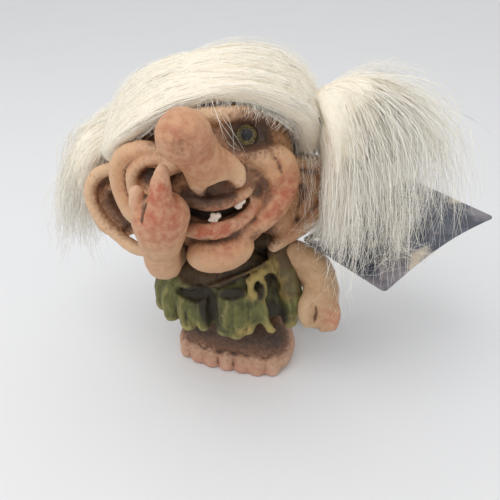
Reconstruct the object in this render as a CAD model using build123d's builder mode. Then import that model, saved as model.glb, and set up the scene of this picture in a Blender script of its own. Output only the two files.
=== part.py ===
# A cast troll figure with glass eyes, a fur wig and a printed card tag.
# The soles stand on z = 0, the feet face -Y and the figure's left is +X.
import os
from math import asin, cos, degrees, pi, radians, sin

from build123d import *

# Feet casting
feet_width = 40.0
feet_depth = 24.0
feet_height = 18.0
sole_corner_radius = 8.0
ankle_inset = 2.5
toe_count = 7
toe_radius = 2.9
toe_tip_radius = 2.4
toe_length = 5.0
toe_lift = 4.6
toe_edge_margin = 2.0
toe_row_bend = 5.0
feet_stub_radius = 8.0
feet_stub_height = 6.0

# Tunic and neck casting
tunic_x = -3.0
tunic_y = 3.0
tunic_height = 29.0
collar_width = 27.0
# Gathered skirt, by its sections up from the feet: height, width, depth, and the depth of its folds
fold_count = 15
fold_phase = 9.0
skirt_sections = (
    (0.0, 42.0, 35.0, 0.9),
    (4.0, 48.0, 40.5, 1.6),
    (10.0, 49.0, 41.5, 1.7),
    (17.0, 45.0, 37.5, 1.3),
    (22.0, 38.5, 32.0, 0.4),
    (tunic_height, collar_width, collar_width, 0.0),
)
neck_radius = 9.0
neck_height = 11.0
neck_root = 2.0

# Clearances between castings, glued trim and loose parts
fit_clearance = 0.15
glue_clearance = 0.1
tag_clearance = 0.3

# Pegs that hold the arms in the body
peg_radius = 2.5
peg_length = 7.0

# Left arm, hanging: shoulder, wrist and palm, then fingers and thumb
left_shoulder_at = (23.0, 2.0, 41.5)
shoulder_radius = 7.2
left_wrist_at = (29.5, -1.2, 34.5)
left_wrist_radius = 6.3
left_palm_at = (30.6, -3.2, 28.6)
left_palm_radius = 6.4
finger_count = 4
finger_root_radius = 2.5
finger_tip_radius = 2.0
finger_length = 6.4
finger_spread = 3.3
left_thumb_at = (25.4, -7.4, 30.0)
left_thumb_radius = 2.4
left_thumb_length = 6.0

# Right arm, raised to the mouth: shoulder, elbow and fist, then forefinger and thumb
right_shoulder_at = (-24.0, -1.0, 42.0)
elbow_at = (-12.0, -26.5, 53.5)
elbow_radius = 5.8
fist_at = (-9.6, -33.6, 70.0)
fist_radius = 8.0
forefinger_root_at = (-5.6, -37.4, 75.5)
forefinger_tip_at = (-7.6, -35.6, 84.6)
forefinger_root_radius = 3.8
forefinger_tip_radius = 2.4
right_thumb_root_at = (-12.0, -37.0, 69.5)
right_thumb_tip_at = (-14.4, -35.6, 77.2)
right_thumb_root_radius = 3.4
right_thumb_tip_radius = 2.4

# Head casting, in its own tilted frame: x to the figure's left, y to the back, z up
head_x = -8.0
head_y = 0.5
head_seat_below = 18.0
head_yaw = 25.0
head_pitch = 12.0
skull_radius = 26.0
jaw_radius = 15.0
jaw_at = (1.0, -12.5, -14.5)
chin_radius = 7.8
chin_half_width = 11.0
chin_at = (1.5, -19.5, -22.4)
left_cheek_radius = 9.5
left_cheek_at = (13.0, -15.0, -4.0)
right_cheek_radius = 10.5
right_cheek_at = (-16.0, -13.0, -4.0)
# Laugh folds, from beside the nose round the mouth's corner to the chin, each with its own thickness
left_fold = (
    ((8.0, -20.5, 2.0), 4.2),
    ((18.5, -18.0, 1.8), 5.8),
    ((20.6, -15.8, -5.2), 6.2),
    ((15.6, -18.6, -12.6), 5.4),
    ((9.0, -21.5, -17.0), 4.0),
)
right_fold = (
    ((-9.0, -20.5, 1.0), 4.2),
    ((-21.5, -17.5, 2.4), 5.4),
    ((-25.4, -14.0, -4.0), 6.0),
    ((-22.0, -15.4, -12.4), 5.4),
    ((-11.0, -20.5, -17.5), 4.0),
)
brow_radius = 3.4
brow_half_width = 14.0
brow_at = (0.0, -19.0, 16.5)
mouth_line = ((-9.0, -25.0, -10.0), (-1.0, -28.0, -10.8), (8.2, -24.8, -7.0))
mouth_radius = 2.1
upper_lip_radius = 1.8
upper_lip_rise = 3.4
lower_lip_radius = 3.3
lower_lip_fall = 4.2
lower_lip_setback = 0.8
nose_root_radius = 7.3
nose_root_at = (0.0, -23.0, 0.5)
nose_neck_radius = 5.7
nose_neck_at = (-6.6, -34.8, 8.8)
nose_bulb_radius = 6.7
nose_bulb_at = (-8.9, -40.0, 12.4)
wing_radius = 3.7
left_wing_at = (6.2, -27.5, -0.8)
right_wing_at = (-5.8, -28.5, -1.6)
nostril_radius = 2.6
nostril_at = (0.3, -31.0, -5.0)
ear_half_width = 12.0
ear_half_height = 14.0
ear_thickness = 6.0
ear_rim_width = 3.0
ear_dish_depth = 3.6
ear_turn = 20.0
ear_x = 30.0
ear_y = 0.0
ear_z = -12.5

# Glass eyes
eye_radius = 3.1
eye_spacing = 18.4
eye_y = -19.2
eye_z = 10.0
iris_thickness = 0.4
pupil_radius = 1.4
eye_back_thickness = 0.8
shank_radius = 0.7
shank_length = 5.0
socket_half_width = 6.6
socket_half_height = 4.2
socket_offset = 0.8

# Teeth
tooth_width = 2.3
tooth_thickness = 1.5
tooth_height = 4.2
tooth_edge_chamfer = 0.3
upper_tooth_at = (5.4, -25.2, -6.6)
lower_tooth_at = (-1.8, -26.6, -12.6)

# Wig
hide_thickness = 1.2
crown_radius = 32.0
crown_half_width = 19.0
hairline_angle = 40.0
hairline_y = -18.5
hairline_z = 20.0
back_parting_y = 8.0
back_top_radius = 19.0
back_end_at = (0.0, 22.0, -19.0)
back_end_radius = 11.0
# Locks, each springing from the side of the skull and falling, as a middle, a heading, half a depth
# and half a thickness for each section. The first one is in the head's frame.
lock_root_at = (20.5, 8.0, 13.0)
lock_root_half_depth = 9.0
lock_root_half_thickness = 7.0
left_lock = (
    ((29.0, 13.5, 89.0), (0.85, -0.10, -0.35), 11.0, 8.0),
    ((41.0, 10.5, 80.5), (0.45, -0.15, -0.90), 13.0, 13.0),
    ((45.5, 7.0, 66.0), (0.10, -0.25, -0.95), 15.0, 17.0),
    ((46.0, 2.0, 46.0), (0.00, -0.30, -1.00), 15.0, 18.5),
)
right_lock = (
    ((-36.5, 2.0, 86.5), (-0.85, -0.05, -0.50), 8.5, 5.5),
    ((-48.5, 0.0, 76.0), (-0.55, -0.10, -0.83), 10.0, 7.0),
    ((-54.5, -1.5, 60.5), (-0.20, -0.10, -1.00), 10.5, 8.0),
    ((-56.0, -2.0, 45.0), (0.00, 0.00, -1.00), 9.5, 7.5),
)

# Tail
tail_radius = 2.0
tail_root_y = 16.5
tail_back_y = 30.0
tail_drop = 12.0
tail_side = 15.0
tail_bend_radius = 5.0
tail_socket_depth = 5.0
tuft_length = 17.0
tuft_radius = 4.0

# Swing tag
tag_width = 37.0
tag_length = 53.0
tag_thickness = 0.5
tag_corner_radius = 1.5
tag_hole_radius = 1.2
tag_hole_margin = 3.5
tag_edge_angle = -35.0
tag_tilt = 10.0
tag_tilt_heading = -20.0
tag_rest_angle = 62.0

# Heights and frames that follow from the sizes above
tunic_top = feet_height + tunic_height
neck_top = tunic_top + neck_height
yaw = radians(head_yaw)
pitch = radians(head_pitch)
head_plane = Plane(
    origin=(head_x, head_y, neck_top + head_seat_below),
    x_dir=(cos(yaw), sin(yaw), 0),
    z_dir=(-sin(yaw) * sin(pitch), cos(yaw) * sin(pitch), cos(pitch)),
)
hide_outer = skull_radius + glue_clearance + hide_thickness
far = 4 * crown_radius


def in_head(point):
    """The place in the figure of a point of the head's frame."""
    return head_plane.from_local_coords(Vector(*point))


def head_frame(point, tilt=0.0, turn=0.0):
    """A plane at a point of the head's frame, tilted about its x and then turned about its z."""
    return Plane(head_plane.location * Location(point) * Location((0, 0, 0), (tilt, 0, turn)))


def limb(start, end, start_radius, end_radius, mode=Mode.ADD):
    """A tapered round limb between two points, with round ends."""
    start = Vector(start)
    end = Vector(end)
    along = end - start
    taper = degrees(asin((start_radius - end_radius) / along.length))
    side = Plane(origin=start, z_dir=along).x_dir
    with BuildSketch(Plane(origin=start, x_dir=along, z_dir=side)) as profile:
        with BuildLine():
            near_cap = CenterArc((0, 0), start_radius, 180, -90 - taper)
            far_cap = CenterArc((along.length, 0), end_radius, 90 - taper, taper - 90)
            Line(near_cap @ 1, far_cap @ 0)
            Line(far_cap @ 1, near_cap @ 0)
        make_face()
    revolve(profile.sketch, axis=Axis(start, along), mode=mode)


def spheroid(place, half_length, radius, mode=Mode.ADD):
    """A spheroid with its long axis along the x direction of a plane."""
    with BuildSketch(place) as profile:
        with BuildLine():
            edge = EllipticalCenterArc((0, 0), half_length, radius, 0, arc_size=180)
            Line(edge @ 1, edge @ 0)
        make_face()
    revolve(profile.sketch, axis=Axis(place.origin, place.x_dir), mode=mode)


def roll_along(points, mode=Mode.ADD):
    """A round roll through points of the head's frame, each with its own radius."""
    for (start, start_radius), (end, end_radius) in zip(points, points[1:]):
        limb(in_head(start), in_head(end), start_radius, end_radius, mode)


def fold_along(points):
    """A fold of skin that curves through points of the head's frame, each with its own radius."""
    with BuildLine() as path:
        Spline(*[in_head(point) for point, radius in points])
    sections = []
    for index, (point, radius) in enumerate(points):
        along = index / (len(points) - 1)
        with BuildSketch(Plane(origin=path.line @ along, z_dir=path.line % along)) as section:
            Circle(radius)
        sections.append(section.sketch)
    loft(sections)


def ball(point, radius, mode=Mode.ADD):
    """A ball at a point of the figure."""
    with Locations(Vector(*point)):
        Sphere(radius, mode=mode)


def tooth_block(point, extra=0.0, mode=Mode.ADD):
    """A tooth at a point of the head's frame, with room to spare around it where that is asked."""
    with Locations(head_frame(point).location):
        Box(tooth_width + 2 * extra, tooth_thickness + 2 * extra, tooth_height + 2 * extra, mode=mode)


def keep_above_hairline():
    """Cuts away what lies in front of and below the hairline."""
    with Locations(head_frame((0, hairline_y, hairline_z), -hairline_angle).location):
        Box(far, far, far, align=(Align.CENTER, Align.CENTER, Align.MAX), mode=Mode.SUBTRACT)


def write(part, name):
    """Labels a finished piece and writes its file."""
    part.label = name
    export_step(part, f"parts/{name}.step")


os.makedirs("parts", exist_ok=True)

# Feet: one casting, a tapering block with a row of toes and a stub that goes up into the body
with BuildPart() as feet:
    with BuildSketch(Plane.XY):
        RectangleRounded(feet_width, feet_depth, sole_corner_radius)
    with BuildSketch(Plane.XY.offset(feet_height)):
        RectangleRounded(
            feet_width - 2 * ankle_inset,
            feet_depth - 2 * ankle_inset,
            sole_corner_radius - ankle_inset,
        )
    loft()
    toe_pitch = (feet_width - 2 * toe_edge_margin) / toe_count
    for index in range(toe_count):
        toe_x = (index - (toe_count - 1) / 2) * toe_pitch
        toe_y = toe_row_bend * (2 * toe_x / feet_width) ** 4 - feet_depth / 2
        limb(
            (toe_x, toe_y + toe_length / 2, toe_lift + toe_length / 2),
            (toe_x, toe_y, toe_tip_radius),
            toe_radius,
            toe_tip_radius,
        )
    with Locations((0, 0, 0)):
        Box(far, far, far, align=(Align.CENTER, Align.CENTER, Align.MAX), mode=Mode.SUBTRACT)
    with Locations((0, 0, feet_height)):
        Cylinder(feet_stub_radius, feet_stub_height, align=(Align.CENTER, Align.CENTER, Align.MIN))
write(feet.part, "feet")


def gathered(height, width, depth, fold_depth):
    """A section of the skirt: an oval whose edge is drawn into folds."""
    edge_points = []
    for step in range(4 * fold_count):
        around = radians(fold_phase) + step * pi / 2 / fold_count
        swell = fold_depth * cos(step * pi / 2)
        x = tunic_x + (width / 2 + swell) * sin(around)
        y = tunic_y - (depth / 2 + swell) * cos(around)
        edge_points.append((x, y))
    with BuildSketch(Plane.XY.offset(feet_height + height)) as section:
        with BuildLine():
            Spline(*edge_points, periodic=True)
        make_face()
    return section.sketch


# Tunic form: the body's outside with its gathered skirt and neck, before any hole
with BuildPart() as tunic_form:
    loft([gathered(*section) for section in skirt_sections])
    with Locations((head_x, head_y, tunic_top - neck_root)):
        Cylinder(
            neck_radius,
            neck_height + neck_root,
            align=(Align.CENTER, Align.CENTER, Align.MIN),
        )

left_shoulder = Vector(*left_shoulder_at)
right_shoulder = Vector(*right_shoulder_at)
body_middle = Vector(tunic_x, tunic_y, feet_height + tunic_height / 2)


def peg_plane(shoulder):
    """The plane of an arm's peg: from the shoulder's middle straight into the body."""
    return Plane(origin=shoulder, z_dir=Vector(body_middle.X, body_middle.Y, shoulder.Z) - shoulder)


# Tunic body: the form with the holes for the feet, the arms and the tail
with BuildPart() as tunic_body:
    add(tunic_form.part)
    with Locations((0, 0, feet_height)):
        Cylinder(
            feet_stub_radius + fit_clearance,
            2 * (feet_stub_height + fit_clearance),
            mode=Mode.SUBTRACT,
        )
    for shoulder in (left_shoulder, right_shoulder):
        with Locations(peg_plane(shoulder).location):
            Cylinder(
                peg_radius + fit_clearance,
                shoulder_radius + peg_length + fit_clearance,
                align=(Align.CENTER, Align.CENTER, Align.MIN),
                mode=Mode.SUBTRACT,
            )
    with Locations((tunic_x, tail_root_y, feet_height)):
        Cylinder(
            tail_radius + fit_clearance,
            2 * (tail_socket_depth + fit_clearance),
            mode=Mode.SUBTRACT,
        )
write(tunic_body.part, "tunic_body")

# Head: skull, jaw, cheeks, nose and ears in one casting, hollowed for the eyes, mouth and neck
with BuildPart() as head:
    ball(in_head((0, 0, 0)), skull_radius)
    ball(in_head(jaw_at), jaw_radius)
    spheroid(head_frame(chin_at), chin_half_width, chin_radius)
    ball(in_head(left_cheek_at), left_cheek_radius)
    ball(in_head(right_cheek_at), right_cheek_radius)
    spheroid(head_frame(brow_at), brow_half_width, brow_radius)
    fold_along(left_fold)
    fold_along(right_fold)
    # Mouth, with a lip above and below it
    roll_along([((x, y, z + upper_lip_rise), upper_lip_radius) for x, y, z in mouth_line])
    roll_along([((x, y + lower_lip_setback, z - lower_lip_fall), lower_lip_radius) for x, y, z in mouth_line])
    roll_along([(point, mouth_radius) for point in mouth_line], Mode.SUBTRACT)
    # Nose with its bulb, wings and nostril
    limb(in_head(nose_root_at), in_head(nose_neck_at), nose_root_radius, nose_neck_radius)
    ball(in_head(nose_bulb_at), nose_bulb_radius)
    ball(in_head(left_wing_at), wing_radius)
    ball(in_head(right_wing_at), wing_radius)
    ball(in_head(nostril_at), nostril_radius, Mode.SUBTRACT)
    # Ears: dished ovals, turned a little to the front
    for side in (1, -1):
        ear = head_frame((side * ear_x, ear_y, ear_z), 90, side * ear_turn)
        for offset, shrink in (
            (-ear_thickness / 2, ear_rim_width),
            (0, 0),
            (ear_thickness / 2, ear_rim_width / 2),
        ):
            with BuildSketch(ear.offset(offset)):
                Ellipse(ear_half_width - shrink, ear_half_height - shrink)
        loft()
        for offset, shrink in (
            (ear_thickness / 2 - ear_dish_depth, 2 * ear_rim_width),
            (ear_thickness / 2, ear_rim_width),
        ):
            with BuildSketch(ear.offset(offset)):
                Ellipse(ear_half_width - shrink, ear_half_height - shrink)
        loft(mode=Mode.SUBTRACT)
    # Eye sockets, with a bore for each glass eye and a thinner one for its shank
    for side in (1, -1):
        eye = head_frame((side * eye_spacing / 2, eye_y, eye_z), 90)
        spheroid(eye.offset(eye_radius + socket_offset), socket_half_width, socket_half_height, Mode.SUBTRACT)
        with Locations(eye.offset(-iris_thickness - eye_back_thickness).location):
            Cylinder(
                eye_radius + fit_clearance,
                eye_back_thickness + iris_thickness + eye_radius + socket_offset,
                align=(Align.CENTER, Align.CENTER, Align.MIN),
                mode=Mode.SUBTRACT,
            )
            Cylinder(
                shank_radius + fit_clearance,
                2 * (shank_length + fit_clearance),
                mode=Mode.SUBTRACT,
            )
    tooth_block(upper_tooth_at, fit_clearance, Mode.SUBTRACT)
    tooth_block(lower_tooth_at, fit_clearance, Mode.SUBTRACT)
    with Locations((head_x, head_y, neck_top)):
        Cylinder(
            neck_radius + fit_clearance,
            far,
            align=(Align.CENTER, Align.CENTER, Align.MAX),
            mode=Mode.SUBTRACT,
        )
write(head.part, "head")

# Teeth: loose chips with their roots in the gums
for tooth_name, tooth_at in (("upper_tooth", upper_tooth_at), ("lower_tooth", lower_tooth_at)):
    with BuildPart() as tooth:
        tooth_block(tooth_at)
        chamfer(tooth.edges(), tooth_edge_chamfer)
    write(tooth.part, tooth_name)

# Glass eyes: a clear dome, a ring and a pupil behind it, and a back with its shank
for eye_name, side in (("left_eye", 1), ("right_eye", -1)):
    eye = head_frame((side * eye_spacing / 2, eye_y, eye_z), 90)
    with BuildPart() as eye_glass:
        with Locations(eye.location):
            Sphere(eye_radius, arc_size1=0, align=(Align.CENTER, Align.CENTER, Align.MIN))
    write(eye_glass.part, f"{eye_name}_glass")
    with BuildPart() as eye_iris:
        with BuildSketch(eye):
            Circle(eye_radius)
            Circle(pupil_radius, mode=Mode.SUBTRACT)
        extrude(amount=-iris_thickness)
    write(eye_iris.part, f"{eye_name}_iris")
    with BuildPart() as eye_pupil:
        with BuildSketch(eye):
            Circle(pupil_radius)
        extrude(amount=-iris_thickness)
    write(eye_pupil.part, f"{eye_name}_pupil")
    with BuildPart() as eye_shank:
        with BuildSketch(eye.offset(-iris_thickness)):
            Circle(eye_radius)
        extrude(amount=-eye_back_thickness)
        with BuildSketch(eye.offset(-iris_thickness - eye_back_thickness)):
            Circle(shank_radius)
        extrude(amount=-shank_length)
    write(eye_shank.part, f"{eye_name}_shank")

# Left arm: hangs at the side, with fingers and a thumb
with BuildPart() as left_arm:
    left_wrist = Vector(*left_wrist_at)
    left_palm = Vector(*left_palm_at)
    limb(left_shoulder, left_wrist, shoulder_radius, left_wrist_radius)
    limb(left_wrist, left_palm, left_wrist_radius, left_palm_radius)
    for index in range(finger_count):
        aside = (index - (finger_count - 1) / 2) * finger_spread
        knuckle = left_palm + Vector(aside, -finger_root_radius, -left_palm_radius / 2)
        limb(knuckle, knuckle - Vector(0, 0, finger_length), finger_root_radius, finger_tip_radius)
    left_thumb = Vector(*left_thumb_at)
    limb(left_palm, left_thumb, left_palm_radius / 2, left_thumb_radius)
    limb(left_thumb, left_thumb - Vector(0, 0, left_thumb_length), left_thumb_radius, finger_tip_radius)
    add(tunic_form.part, mode=Mode.SUBTRACT)
    with Locations(peg_plane(left_shoulder).location):
        Cylinder(peg_radius, shoulder_radius + peg_length, align=(Align.CENTER, Align.CENTER, Align.MIN))
write(left_arm.part, "left_arm")

# Right arm: bent up in front, with the fist against the mouth and cheek
with BuildPart() as right_arm:
    limb(right_shoulder, elbow_at, shoulder_radius, elbow_radius)
    limb(elbow_at, fist_at, elbow_radius, fist_radius)
    limb(fist_at, forefinger_root_at, fist_radius / 2, forefinger_root_radius)
    limb(forefinger_root_at, forefinger_tip_at, forefinger_root_radius, forefinger_tip_radius)
    limb(fist_at, right_thumb_root_at, fist_radius / 2, right_thumb_root_radius)
    limb(right_thumb_root_at, right_thumb_tip_at, right_thumb_root_radius, right_thumb_tip_radius)
    add(tunic_form.part, mode=Mode.SUBTRACT)
    add(head.part, mode=Mode.SUBTRACT)
    with Locations(peg_plane(right_shoulder).location):
        Cylinder(peg_radius, shoulder_radius + peg_length, align=(Align.CENTER, Align.CENTER, Align.MIN))
write(right_arm.part, "right_arm")

# Wig hide: a cap of hide glued over the skull, down to the hairline
with BuildPart() as wig_hide:
    ball(in_head((0, 0, 0)), hide_outer)
    ball(in_head((0, 0, 0)), skull_radius + glue_clearance, Mode.SUBTRACT)
    keep_above_hairline()
write(wig_hide.part, "wig_hide")

# Swing tag frame: the card's lower edge rests on the back of the left shoulder
tilt = radians(tag_tilt)
heading = radians(tag_tilt_heading)
tag_normal = Vector(sin(tilt) * sin(heading), -sin(tilt) * cos(heading), cos(tilt))
edge_heading = Vector(cos(radians(tag_edge_angle)), sin(radians(tag_edge_angle)), 0)
tag_edge = (edge_heading - tag_normal * edge_heading.dot(tag_normal)).normalized()
tag_inward = tag_normal.cross(tag_edge)
rest = radians(tag_rest_angle)
tag_touch = left_shoulder + (tag_inward * cos(rest) + tag_normal * sin(rest)) * (
    shoulder_radius + tag_clearance
)
tag_corner = tag_touch - tag_edge * tag_hole_margin
tag_plane = Plane(origin=tag_corner, x_dir=tag_edge, z_dir=tag_normal)

# Swing tag: a card with a hole for its thread in the tucked corner
with BuildPart() as swing_tag:
    with BuildSketch(tag_plane):
        RectangleRounded(
            tag_width,
            tag_length,
            tag_corner_radius,
            align=(Align.MIN, Align.MIN),
        )
        with Locations((tag_hole_margin, tag_hole_margin)):
            Circle(tag_hole_radius, mode=Mode.SUBTRACT)
    extrude(amount=tag_thickness)
write(swing_tag.part, "swing_tag")

# Wig crown: the fur over the top, between the two side locks
with BuildPart() as wig_crown:
    ball(in_head((0, 0, 0)), crown_radius)
    ball(in_head((0, 0, 0)), hide_outer + glue_clearance, Mode.SUBTRACT)
    keep_above_hairline()
    with Locations(head_frame((0, back_parting_y, 0)).location):
        Box(
            2 * crown_half_width,
            far,
            far,
            align=(Align.CENTER, Align.MAX, Align.CENTER),
            mode=Mode.INTERSECT,
        )
write(wig_crown.part, "wig_crown")

# Wig back: the fur that falls behind the head to the body
with BuildPart() as wig_back:
    ball(in_head((0, 0, 0)), crown_radius)
    keep_above_hairline()
    limb(
        in_head((0, crown_radius - back_top_radius, 0)),
        in_head(back_end_at),
        back_top_radius,
        back_end_radius,
    )
    ball(in_head((0, 0, 0)), hide_outer + glue_clearance, Mode.SUBTRACT)
    with Locations(head_frame((0, back_parting_y + glue_clearance, 0)).location):
        Box(
            2 * crown_half_width,
            far,
            far,
            align=(Align.CENTER, Align.MIN, Align.CENTER),
            mode=Mode.INTERSECT,
        )
    add(tunic_form.part, mode=Mode.SUBTRACT)
write(wig_back.part, "wig_back")

# Side fur: a cap over each side of the skull, and the lock that springs from it and falls
def side_fur(side, lock):
    """The fur on one side of the head, with a lock through its sections."""
    ball(in_head((0, 0, 0)), crown_radius)
    keep_above_hairline()
    heading = head_plane.x_dir * side
    with Locations(Plane(in_head((side * (crown_half_width + glue_clearance), 0, 0)), z_dir=heading).location):
        Box(far, far, far, align=(Align.CENTER, Align.CENTER, Align.MIN), mode=Mode.INTERSECT)
    root_x, root_y, root_z = lock_root_at
    root = (in_head((side * root_x, root_y, root_z)), heading, lock_root_half_depth, lock_root_half_thickness)
    sections = []
    for at, along, half_depth, half_thickness in (root, *lock):
        with BuildSketch(Plane(origin=at, x_dir=(0, 1, 0), z_dir=along)) as section:
            Ellipse(half_depth, half_thickness)
        sections.append(section.sketch)
    loft(sections)
    ball(in_head((0, 0, 0)), hide_outer + glue_clearance, Mode.SUBTRACT)
    add(head.part, mode=Mode.SUBTRACT)


with BuildPart() as wig_left_lock:
    side_fur(1, left_lock)
    ball(left_shoulder, shoulder_radius + tag_clearance, Mode.SUBTRACT)
    with Locations(tag_plane.offset(tag_thickness + tag_clearance).location):
        Box(far, far, far, align=(Align.CENTER, Align.CENTER, Align.MIN), mode=Mode.INTERSECT)
write(wig_left_lock.part, "wig_left_lock")

with BuildPart() as wig_right_lock:
    side_fur(-1, right_lock)
write(wig_right_lock.part, "wig_right_lock")

# Tail: pegged under the back hem, bent down and round to the side
with BuildPart() as tail:
    with BuildLine() as tail_path:
        FilletPolyline(
            (tunic_x, tail_root_y, feet_height + tail_socket_depth),
            (tunic_x, tail_root_y, feet_height - tail_drop / 2),
            (tunic_x, tail_back_y, feet_height - tail_drop),
            (tunic_x + tail_side, tail_back_y, feet_height - tail_drop),
            radius=tail_bend_radius,
        )
    with BuildSketch(Plane(origin=tail_path.line @ 0, z_dir=tail_path.line % 0)):
        Circle(tail_radius)
    sweep()
write(tail.part, "tail")

# Tail tuft: a tuft of fur glued over the tail's end
with BuildPart() as tail_tuft:
    tail_end = Vector(tunic_x + tail_side, tail_back_y, feet_height - tail_drop)
    spheroid(
        Plane(origin=tail_end + Vector(tuft_length / 4, 0, 0), x_dir=(1, 0, 0), z_dir=(0, 0, 1)),
        tuft_length / 2,
        tuft_radius,
    )
    with Locations(Plane(origin=tail_end, z_dir=(-1, 0, 0)).location):
        Cylinder(
            tail_radius + glue_clearance,
            tuft_length,
            align=(Align.CENTER, Align.CENTER, Align.MIN),
            mode=Mode.SUBTRACT,
        )
write(tail_tuft.part, "tail_tuft")
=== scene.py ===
# A small troll figure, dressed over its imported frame: painted castings, glass eyes, a long fur
# wig and a card tag.
from math import cos, radians, sin

import bmesh
import bpy
import numpy as np
import openvdb
from mathutils import Euler, Matrix, Vector, noise


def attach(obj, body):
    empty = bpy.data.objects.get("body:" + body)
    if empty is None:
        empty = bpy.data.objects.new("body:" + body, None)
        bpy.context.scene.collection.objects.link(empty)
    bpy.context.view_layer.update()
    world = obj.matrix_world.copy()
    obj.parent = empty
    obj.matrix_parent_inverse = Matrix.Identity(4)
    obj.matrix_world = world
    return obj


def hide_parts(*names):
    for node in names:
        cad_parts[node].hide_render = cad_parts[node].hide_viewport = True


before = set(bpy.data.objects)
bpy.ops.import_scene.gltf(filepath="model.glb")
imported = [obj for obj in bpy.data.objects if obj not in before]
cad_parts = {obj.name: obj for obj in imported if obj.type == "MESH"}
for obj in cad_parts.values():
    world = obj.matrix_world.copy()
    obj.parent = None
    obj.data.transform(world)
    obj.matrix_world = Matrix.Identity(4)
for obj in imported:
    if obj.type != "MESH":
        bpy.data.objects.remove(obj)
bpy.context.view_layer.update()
scene = bpy.context.scene
scene.view_settings.view_transform = "Standard"
mm = 0.001


# Camera, table and light: the figure stands on a pale table top in a light tent and is seen
# from a little to its left and well above. The tent's light comes from all round, with one
# softbox over the camera's left shoulder.
camera_azimuth = radians(18.0)
camera_elevation = radians(30.0)
camera_distance = 205.0
camera_target = Vector((5.0, 0.0, 45.0))
towards_camera = Vector(
    (
        sin(camera_azimuth) * cos(camera_elevation),
        -cos(camera_azimuth) * cos(camera_elevation),
        sin(camera_elevation),
    )
)
camera = bpy.data.objects.new("camera", bpy.data.cameras.new("camera"))
camera.data.sensor_width = 36.0
camera.data.lens = 43.2
camera.data.clip_start = 0.01
camera.location = (camera_target + towards_camera * camera_distance) * mm
camera.rotation_euler = towards_camera.to_track_quat("Z", "Y").to_euler()
scene.collection.objects.link(camera)
scene.camera = camera


class Finish:
    """A surface finish, built up in layers over a ground colour. Colours are as read off a screen."""

    grain_roughness = 0.55

    def __init__(self, name, ground, roughness, **shader):
        self.material = bpy.data.materials.new(name)
        self.material.use_nodes = True
        self.tree = self.material.node_tree
        self.shader = self.tree.nodes["Principled BSDF"]
        self.shader.inputs["Roughness"].default_value = roughness
        for socket, value in shader.items():
            self.shader.inputs[socket.replace("_", " ")].default_value = value
        self.colour = (*srgb(*ground), 1)
        self.join(self.colour, self.shader.inputs["Base Color"])

    def join(self, value, socket):
        """Feeds a socket from another one, or sets it to a constant."""
        if isinstance(value, bpy.types.NodeSocket):
            self.tree.links.new(value, socket)
        else:
            socket.default_value = value

    def node(self, kind, **settings):
        """A node of the finish, with its settings and inputs."""
        made = self.tree.nodes.new(kind)
        for key, value in settings.items():
            if hasattr(made, key):
                setattr(made, key, value)
            else:
                self.join(value, made.inputs[key.replace("_", " ")])
        return made

    def layer(self, colour, mask):
        """Lays a colour over what is there, as thick as its mask."""
        mix = self.node("ShaderNodeMix", data_type="RGBA")
        for socket, value in ((0, mask), (6, self.colour), (7, (*srgb(*colour), 1))):
            self.join(value, mix.inputs[socket])
        self.colour = mix.outputs[2]
        self.join(self.colour, self.shader.inputs["Base Color"])

    def grain(self, size, detail=4.0, stretch=(1, 1, 1)):
        """Soft noise with patches of some size in millimetres."""
        place = self.node("ShaderNodeTexCoord").outputs["Object"]
        if stretch != (1, 1, 1):
            place = self.node("ShaderNodeMapping", Vector=place, Scale=stretch).outputs[0]
        made = self.node("ShaderNodeTexNoise", Vector=place, Scale=1 / (size * mm), Detail=detail)
        self.join(self.grain_roughness, made.inputs["Roughness"])
        return made.outputs["Fac"]

    def speckle(self, colour, size, low, high, top=1.0, detail=4.0):
        """Lays a colour on in soft patches of some size in millimetres."""
        self.layer(colour, self.between(self.grain(size, detail), low, high, top))

    def between(self, value, low, high, top=1.0):
        """Turns the stretch of a value between two levels into a mask."""
        return self.node(
            "ShaderNodeMapRange", Value=value, From_Min=low, From_Max=high, To_Max=top
        ).outputs[0]

    def sum_of(self, first, second, operation="ADD"):
        """Two masks taken together."""
        made = self.node("ShaderNodeMath", operation=operation)
        for socket, value in zip(made.inputs, (first, second)):
            self.join(value, socket)
        return made.outputs[0]

    def mark(self, name):
        """What was marked on the mesh under some name."""
        return self.node("ShaderNodeAttribute", attribute_name=name).outputs["Fac"]

    def rough(self, value, low, high):
        """Lets the roughness follow a value between two levels."""
        self.tree.links.new(
            self.node("ShaderNodeMapRange", Value=value, To_Min=low, To_Max=high).outputs[0],
            self.shader.inputs["Roughness"],
        )

    def relief(self, value, depth, strength=1.0):
        """Raises the surface by a value, over a depth in millimetres."""
        bump = self.node("ShaderNodeBump", Height=value, Distance=depth * mm, Strength=strength)
        self.tree.links.new(bump.outputs[0], self.shader.inputs["Normal"])


def srgb(red, green, blue):
    """A colour as it is read off a screen, for the renderer."""
    return tuple(((c / 255 + 0.055) / 1.055) ** 2.4 for c in (red, green, blue))


table_finish = Finish("pale_table", (228, 229, 230), 0.6)
table_finish.layer((224, 225, 227), table_finish.grain(60))
table_half = 3.0
table_mesh = bpy.data.meshes.new("table_top")
table_mesh.from_pydata(
    [(x * table_half, y * table_half, 0) for x, y in ((-1, -1), (1, -1), (1, 1), (-1, 1))],
    [],
    [(0, 1, 2, 3)],
)
table_mesh.materials.append(table_finish.material)
table_top = bpy.data.objects.new("table_top", table_mesh)
scene.collection.objects.link(table_top)

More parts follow.
